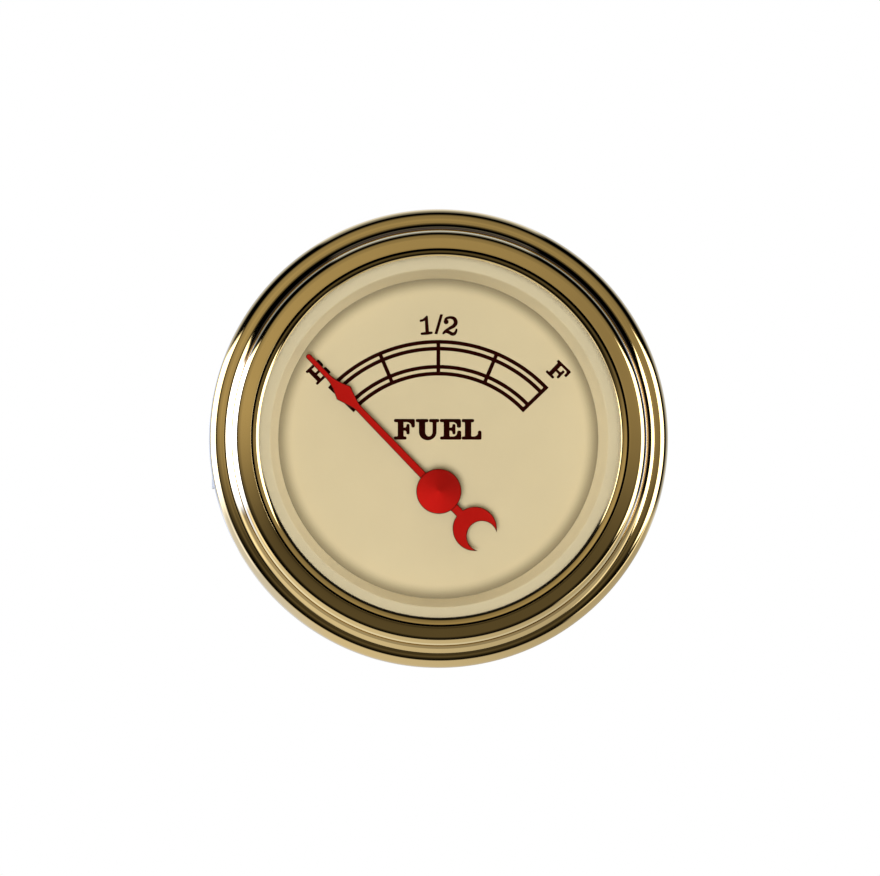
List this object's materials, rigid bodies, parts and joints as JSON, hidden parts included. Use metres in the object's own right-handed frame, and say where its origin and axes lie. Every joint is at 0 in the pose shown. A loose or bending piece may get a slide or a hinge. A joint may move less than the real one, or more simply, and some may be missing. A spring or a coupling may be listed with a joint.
{
  "type": "fuel gauge",
  "caption": "Round panel-mounted fuel gauge: stepped gold bezel, flat glass, cream dial, red needle with a crescent tail, air-core movement, clamp bracket and pull-out lamp.",
  "frame": {"origin": "middle of the panel seat, on the barrel's axis in the plane of the bezel's back face", "axes": "-Y is the front, where the dial faces; +Z is the dial's top; +X is its right as a viewer sees it; the barrel runs back along +Y"},
  "size_m": [0.06, 0.0503, 0.06],
  "materials": {
    "case_black": "satin black enamel",
    "bezel_gold": "polished gold plate",
    "lens_clear": "clear",
    "gasket_rubber": "matte",
    "trim_cream": "satin enamel",
    "dial_cream": "matte printed enamel",
    "carrier_white": "moulded",
    "screw_steel": "zinc plate",
    "screw_brass": "turned",
    "bobbin_ivory": "moulded",
    "coil_copper": "enamelled copper wire",
    "can_steel": "drawn",
    "bearing_brass": "turned",
    "magnet_dark": "sintered",
    "board_green": "solder mask",
    "resistor_tan": "lacquered",
    "pin_brass": "tinned",
    "terminal_brass": "machined",
    "spacer_brown": "phenolic",
    "insulator_white": "nylon",
    "washer_zinc": "zinc plate",
    "stud_zinc": "zinc plate",
    "needle_red": "red paint",
    "hub_red": "red paint",
    "staff_steel": "ground",
    "lamp_nickel": "nickel plate",
    "lamp_black": "moulded",
    "bulb_clear": "clear",
    "filament_grey": "tungsten",
    "bracket_zinc": "zinc plate",
    "thumb_brass": "knurled"
  },
  "bodies": {
    "gauge": {"case_cup": "case_black", "bezel": "bezel_gold", "lens_glass": "lens_clear", "lens_gasket": "gasket_rubber", "trim_ring": "trim_cream", "dial_plate": "dial_cream", "dial_carrier": "carrier_white", "carrier_screws": "screw_steel", "movement_screws": "screw_brass", "bobbin_front": "bobbin_ivory", "bobbin_rear": "bobbin_ivory", "coil_inner": "coil_copper", "coil_outer": "coil_copper", "shield_can": "can_steel", "front_bush": "bearing_brass", "rear_jewel": "bearing_brass", "zero_magnet": "magnet_dark", "circuit_board": "board_green", "resistors": "resistor_tan", "coil_pins": "pin_brass", "terminal_studs": "terminal_brass", "terminal_spacers": "spacer_brown", "terminal_insulators": "insulator_white", "terminal_lock_washers": "washer_zinc", "terminal_nuts": "terminal_brass", "mounting_studs": "stud_zinc"},
    "pointer": {"needle": "needle_red", "needle_hub": "hub_red", "needle_staff": "staff_steel", "magnet_rotor": "magnet_dark"},
    "lamp": {"lamp_shell": "lamp_nickel", "lamp_body": "lamp_black", "lamp_blades": "terminal_brass", "lamp_contact": "pin_brass", "bulb_base": "lamp_nickel", "bulb_glass": "bulb_clear", "bulb_filament": "filament_grey"},
    "clamp": {"clamp_bracket": "bracket_zinc", "clamp_washers": "washer_zinc"},
    "nut_left": {"thumb_nut_left": "thumb_brass"},
    "nut_right": {"thumb_nut_right": "thumb_brass"}
  },
  "joints": [
    {"name": "needle_sweep", "type": "hinge", "parent": "gauge", "child": "pointer", "pos_m": [0, 0, -0.00693], "axis": [0, 1, 0], "range_deg": [-4, 92], "stiffness_Nm_per_rad": 0.00005},
    {"name": "clamp_slide", "type": "slide", "parent": "gauge", "child": "clamp", "axis": [0, 1, 0], "range_m": [-0.0018, 0.05]},
    {"name": "nut_left_turn", "type": "hinge", "parent": "clamp", "child": "nut_left", "pos_m": [-0.0155, 0.0366, 0], "axis": [0, 1, 0], "range_deg": [-926, 25715]},
    {"name": "nut_right_turn", "type": "hinge", "parent": "clamp", "child": "nut_right", "pos_m": [0.0155, 0.0366, 0], "axis": [0, 1, 0], "range_deg": [-926, 25715]},
    {"name": "lamp_pull", "type": "slide", "parent": "gauge", "child": "lamp", "axis": [0, 1, 0], "range_m": [0, 0.035]}
  ],
  "couplings": [
    {"joint": "nut_left_turn", "follows": "clamp_slide", "rad_per_m": 8976},
    {"joint": "nut_right_turn", "follows": "clamp_slide", "rad_per_m": 8976}
  ]
}
